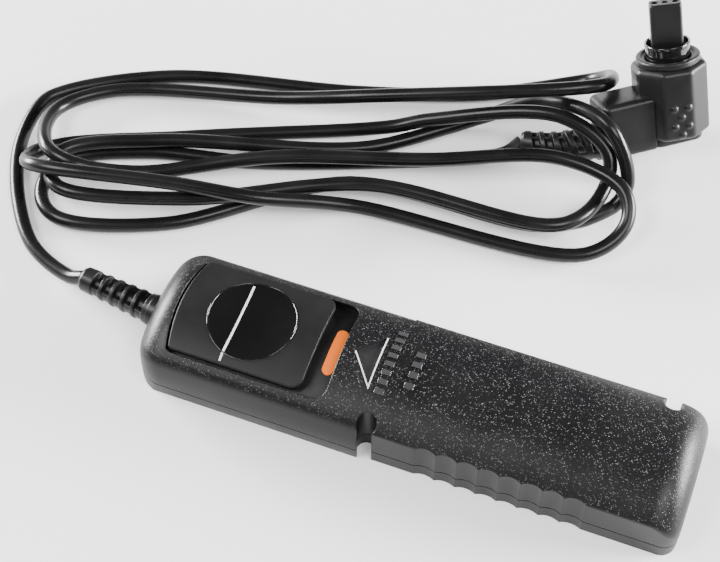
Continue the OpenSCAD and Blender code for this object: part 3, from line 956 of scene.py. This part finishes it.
def moulded(name, colour, rough, grain_mm=0.25, grain_depth=0.012, edge_mm=0.15,
            glint_paint=0.0, coat=0.0, wear=0.02, shine=0.3):
    """Moulded plastic: fine grain, uneven sheen, rounded edges and, if asked, painted glints in
    the base colour.
    """
    material, tree, shader = new_material(name)
    link = tree.links.new
    place = add_node(tree, "ShaderNodeTexCoord")
    grain = add_node(tree, "ShaderNodeTexNoise", Scale=1 / (grain_mm * MM), Detail=3.0)
    link(place.outputs["Object"], grain.inputs["Vector"])
    sheen = add_node(tree, "ShaderNodeTexNoise", Scale=90.0, Detail=4.0, Roughness=0.6)
    link(place.outputs["Object"], sheen.inputs["Vector"])
    link(spread_over(tree, sheen.outputs["Fac"], 0.3, 0.7, rough - 0.05, rough + 0.06),
         shader.inputs["Roughness"])
    edge = add_node(tree, "ShaderNodeBevel", samples=6, Radius=edge_mm * MM)
    bump = add_node(tree, "ShaderNodeBump", Strength=0.6, Distance=grain_depth * MM)
    link(grain.outputs["Fac"], bump.inputs["Height"])
    link(edge.outputs["Normal"], bump.inputs["Normal"])
    tint = add_node(tree, "ShaderNodeMix", data_type="RGBA")
    tint.inputs["A"].default_value = (*colour, 1)
    tint.inputs["B"].default_value = (*[min(1, c + wear) for c in colour], 1)
    link(sheen.outputs["Fac"], tint.inputs["Factor"])
    base, normal = tint.outputs["Result"], bump.outputs["Normal"]
    if glint_paint:
        base, normal = add_painted_glints(tree, place, base, normal, glint_paint)
    link(base, shader.inputs["Base Color"])
    link(normal, shader.inputs["Normal"])
    shader.inputs["Specular IOR Level"].default_value = shine
    shader.inputs["Coat Weight"].default_value = coat
    shader.inputs["Coat Roughness"].default_value = 0.08
    return material


def metal(name, colour, rough):
    """Drawn metal with a fine grain and uneven roughness."""
    material, tree, shader = new_material(name)
    link = tree.links.new
    place = add_node(tree, "ShaderNodeTexCoord")
    grain = add_node(tree, "ShaderNodeTexNoise", Scale=1500.0, Detail=3.0)
    link(place.outputs["Object"], grain.inputs["Vector"])
    bump = add_node(tree, "ShaderNodeBump", Strength=0.4, Distance=0.006 * MM)
    link(grain.outputs["Fac"], bump.inputs["Height"])
    link(bump.outputs["Normal"], shader.inputs["Normal"])
    link(spread_over(tree, grain.outputs["Fac"], 0, 1, rough * 0.7, rough * 1.4),
         shader.inputs["Roughness"])
    shader.inputs["Base Color"].default_value = (*colour, 1)
    shader.inputs["Metallic"].default_value = 1.0
    return material


MATERIALS = {
    # the shell's base colour carries painted glints on its upward faces
    "shell_black": moulded("shell_black", (0.004, 0.004, 0.0045), 0.36, 0.24, 0.05, 0.3,
                           glint_paint=0.15, wear=0.006, shine=0.26),
    "legend_grey": moulded("legend_grey", (0.03, 0.03, 0.031), 0.25, 0.2, 0.03, 0.14,
                           shine=0.7),
    "frame_black": moulded("frame_black", (0.006, 0.006, 0.007), 0.42, 0.3, 0.008, 0.1),
    "button_satin": moulded("button_satin", (0.004, 0.004, 0.0045), 0.46, 0.2, 0.006, 0.4,
                            wear=0.006, shine=0.24),
    "dish_gloss": moulded("dish_gloss", (0.003, 0.003, 0.003), 0.12, 0.5, 0.001, 0.15,
                          coat=0.6, wear=0.003),
    "marker_orange": moulded("marker_orange", (0.95, 0.17, 0.0), 0.32, 0.3, 0.006, 0.25,
                             wear=0.05),
    # line_white also colours the arrow strips, where its white is a painted highlight of the
    # recess's lit edges
    "line_white": moulded("line_white", (0.75, 0.75, 0.74), 0.45, 0.15, 0.006, 0.05),
    "cord_black": moulded("cord_black", (0.003, 0.003, 0.003), 0.28, 0.5, 0.012, 0.05,
                          wear=0.006),
    "relief_black": moulded("relief_black", (0.005, 0.005, 0.005), 0.38, 0.3, 0.012, 0.1,
                            wear=0.008),
    "plug_black": moulded("plug_black", (0.005, 0.005, 0.005), 0.34, 0.25, 0.01, 0.35,
                          wear=0.008),
    "sleeve_gloss": moulded("sleeve_gloss", (0.004, 0.004, 0.004), 0.12, 0.5, 0.001, 0.2,
                            coat=0.7, wear=0.003),
    "board_green": moulded("board_green", (0.02, 0.16, 0.06), 0.35, 0.4, 0.02, 0.1),
    "block_cream": moulded("block_cream", (0.62, 0.58, 0.5), 0.45, 0.3, 0.01, 0.1),
    "wire_red": moulded("wire_red", (0.35, 0.03, 0.02), 0.35, 0.4, 0.01, 0.05),
    "screw_steel": metal("screw_steel", (0.5, 0.5, 0.52), 0.3),
    "spring_steel": metal("spring_steel", (0.6, 0.6, 0.62), 0.25),
    "contact_brass": metal("contact_brass", (0.8, 0.58, 0.25), 0.25),
}

# Painted glow: the marker gets an emission in its own hue, so it looks brighter and more
# saturated though it is no lamp.
marker_glow = MATERIALS["marker_orange"].node_tree.nodes["Principled BSDF"]
marker_glow.inputs["Emission Color"].default_value = (1.0, 0.2, 0.0, 1)
marker_glow.inputs["Emission Strength"].default_value = 0.35


def give_material(obj, slot):
    if obj.material_slots:
        for s in obj.material_slots:
            s.material = MATERIALS[slot]
    else:
        obj.data.materials.append(MATERIALS[slot])


for part in frame["record"]["subparts"]:
    give_material(nodes[part["node"]], part["material_slot"])
PIECE_MATERIALS = [
    (cord_sheath, "cord_black"), (body_relief, "relief_black"), (plug_relief, "relief_black"),
    (top_shell, "shell_black"), (legend, "legend_grey"), (arrow_painted_highlights, "line_white"),
    (arrow_floor, "frame_black"), (dish_rim, "sleeve_gloss"), (plug_sleeve, "sleeve_gloss"),
    (spring_coil, "spring_steel"), (common_strip, "contact_brass"),
    (half_press_strip, "contact_brass"),
]
for piece, slot in PIECE_MATERIALS + [(piece, "plug_black") for piece in plug_pieces]:
    give_material(piece, slot)
